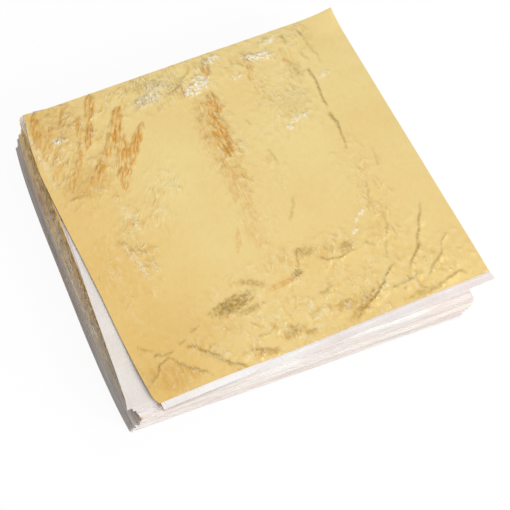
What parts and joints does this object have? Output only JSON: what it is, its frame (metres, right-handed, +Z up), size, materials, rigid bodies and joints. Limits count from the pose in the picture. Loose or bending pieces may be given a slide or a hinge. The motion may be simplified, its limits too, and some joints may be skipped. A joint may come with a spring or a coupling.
{
  "type": "gold leaf pack",
  "caption": "Loose square pack of thin crinkled gold leaves interleaved with white tissues of the same size, lying as one low slipped pile.",
  "frame": {"origin": "middle of the lowest tissue's underside, on which the pile rests", "axes": "+X right along the front edge of the top leaf, +Y to its back edge, +Z up through the pile"},
  "size_m": [0.1528, 0.1512, 0.0285],
  "materials": {
    "gold_leaf": "crinkled beaten leaf, satin to bright",
    "tissue": "matte thin tissue"
  },
  "bodies": {
    "leaf_01": {"leaf_01": "gold_leaf"},
    "tissue_01": {"tissue_01": "tissue"},
    "leaf_02": {"leaf_02": "gold_leaf"},
    "tissue_02": {"tissue_02": "tissue"},
    "leaf_03": {"leaf_03": "gold_leaf"},
    "tissue_03": {"tissue_03": "tissue"},
    "leaf_04": {"leaf_04": "gold_leaf"},
    "tissue_04": {"tissue_04": "tissue"},
    "leaf_05": {"leaf_05": "gold_leaf"},
    "tissue_05": {"tissue_05": "tissue"},
    "leaf_06": {"leaf_06": "gold_leaf"},
    "tissue_06": {"tissue_06": "tissue"},
    "leaf_07": {"leaf_07": "gold_leaf"},
    "tissue_07": {"tissue_07": "tissue"},
    "leaf_08": {"leaf_08": "gold_leaf"},
    "tissue_08": {"tissue_08": "tissue"},
    "leaf_09": {"leaf_09": "gold_leaf"},
    "tissue_09": {"tissue_09": "tissue"},
    "leaf_10": {"leaf_10": "gold_leaf"},
    "tissue_10": {"tissue_10": "tissue"},
    "upper_bundle_01": {"upper_leaves_01": "gold_leaf", "upper_tissues_01": "tissue"},
    "upper_bundle_02": {"upper_leaves_02": "gold_leaf", "upper_tissues_02": "tissue"},
    "upper_bundle_03": {"upper_leaves_03": "gold_leaf", "upper_tissues_03": "tissue"},
    "upper_bundle_04": {"upper_leaves_04": "gold_leaf", "upper_tissues_04": "tissue"},
    "lower_bundle_01": {"lower_leaves_01": "gold_leaf", "lower_tissues_01": "tissue"},
    "lower_bundle_02": {"lower_leaves_02": "gold_leaf", "lower_tissues_02": "tissue"},
    "lower_bundle_03": {"lower_leaves_03": "gold_leaf", "lower_tissues_03": "tissue"},
    "lower_bundle_04": {"lower_leaves_04": "gold_leaf", "lower_tissues_04": "tissue"},
    "lower_bundle_05": {"lower_leaves_05": "gold_leaf", "lower_tissues_05": "tissue"}
  },
  "joints": [
    {"name": "leaf_01_lift", "type": "slide", "parent": "tissue_01", "child": "leaf_01", "axis": [0, 0, 1], "range_m": [0, 0.03]},
    {"name": "tissue_01_lift", "type": "slide", "parent": "leaf_02", "child": "tissue_01", "axis": [0, 0, 1], "range_m": [0, 0.03]},
    {"name": "leaf_02_lift", "type": "slide", "parent": "tissue_02", "child": "leaf_02", "axis": [0, 0, 1], "range_m": [0, 0.03]},
    {"name": "tissue_02_lift", "type": "slide", "parent": "leaf_03", "child": "tissue_02", "axis": [0, 0, 1], "range_m": [0, 0.03]},
    {"name": "leaf_03_lift", "type": "slide", "parent": "tissue_03", "child": "leaf_03", "axis": [0, 0, 1], "range_m": [0, 0.03]},
    {"name": "tissue_03_lift", "type": "slide", "parent": "leaf_04", "child": "tissue_03", "axis": [0, 0, 1], "range_m": [0, 0.03]},
    {"name": "leaf_04_lift", "type": "slide", "parent": "tissue_04", "child": "leaf_04", "axis": [0, 0, 1], "range_m": [0, 0.03]},
    {"name": "tissue_04_lift", "type": "slide", "parent": "leaf_05", "child": "tissue_04", "axis": [0, 0, 1], "range_m": [0, 0.03]},
    {"name": "leaf_05_lift", "type": "slide", "parent": "tissue_05", "child": "leaf_05", "axis": [0, 0, 1], "range_m": [0, 0.03]},
    {"name": "tissue_05_lift", "type": "slide", "parent": "leaf_06", "child": "tissue_05", "axis": [0, 0, 1], "range_m": [0, 0.03]},
    {"name": "leaf_06_lift", "type": "slide", "parent": "tissue_06", "child": "leaf_06", "axis": [0, 0, 1], "range_m": [0, 0.03]},
    {"name": "tissue_06_lift", "type": "slide", "parent": "leaf_07", "child": "tissue_06", "axis": [0, 0, 1], "range_m": [0, 0.03]},
    {"name": "leaf_07_lift", "type": "slide", "parent": "tissue_07", "child": "leaf_07", "axis": [0, 0, 1], "range_m": [0, 0.03]},
    {"name": "tissue_07_lift", "type": "slide", "parent": "leaf_08", "child": "tissue_07", "axis": [0, 0, 1], "range_m": [0, 0.03]},
    {"name": "leaf_08_lift", "type": "slide", "parent": "tissue_08", "child": "leaf_08", "axis": [0, 0, 1], "range_m": [0, 0.03]},
    {"name": "tissue_08_lift", "type": "slide", "parent": "leaf_09", "child": "tissue_08", "axis": [0, 0, 1], "range_m": [0, 0.03]},
    {"name": "leaf_09_lift", "type": "slide", "parent": "tissue_09", "child": "leaf_09", "axis": [0, 0, 1], "range_m": [0, 0.03]},
    {"name": "tissue_09_lift", "type": "slide", "parent": "leaf_10", "child": "tissue_09", "axis": [0, 0, 1], "range_m": [0, 0.03]},
    {"name": "leaf_10_lift", "type": "slide", "parent": "tissue_10", "child": "leaf_10", "axis": [0, 0, 1], "range_m": [0, 0.03]},
    {"name": "tissue_10_lift", "type": "slide", "parent": "upper_bundle_01", "child": "tissue_10", "axis": [0, 0, 1], "range_m": [0, 0.03]},
    {"name": "upper_bundle_01_lift", "type": "slide", "parent": "upper_bundle_02", "child": "upper_bundle_01", "axis": [0, 0, 1], "range_m": [0, 0.03]},
    {"name": "upper_bundle_02_lift", "type": "slide", "parent": "upper_bundle_03", "child": "upper_bundle_02", "axis": [0, 0, 1], "range_m": [0, 0.03]},
    {"name": "upper_bundle_03_lift", "type": "slide", "parent": "upper_bundle_04", "child": "upper_bundle_03", "axis": [0, 0, 1], "range_m": [0, 0.03]},
    {"name": "upper_bundle_04_lift", "type": "slide", "parent": "lower_bundle_01", "child": "upper_bundle_04", "axis": [0, 0, 1], "range_m": [0, 0.03]},
    {"name": "lower_bundle_01_lift", "type": "slide", "parent": "lower_bundle_02", "child": "lower_bundle_01", "axis": [0, 0, 1], "range_m": [0, 0.03]},
    {"name": "lower_bundle_02_lift", "type": "slide", "parent": "lower_bundle_03", "child": "lower_bundle_02", "axis": [0, 0, 1], "range_m": [0, 0.03]},
    {"name": "lower_bundle_03_lift", "type": "slide", "parent": "lower_bundle_04", "child": "lower_bundle_03", "axis": [0, 0, 1], "range_m": [0, 0.03]},
    {"name": "lower_bundle_04_lift", "type": "slide", "parent": "lower_bundle_05", "child": "lower_bundle_04", "axis": [0, 0, 1], "range_m": [0, 0.03]}
  ]
}
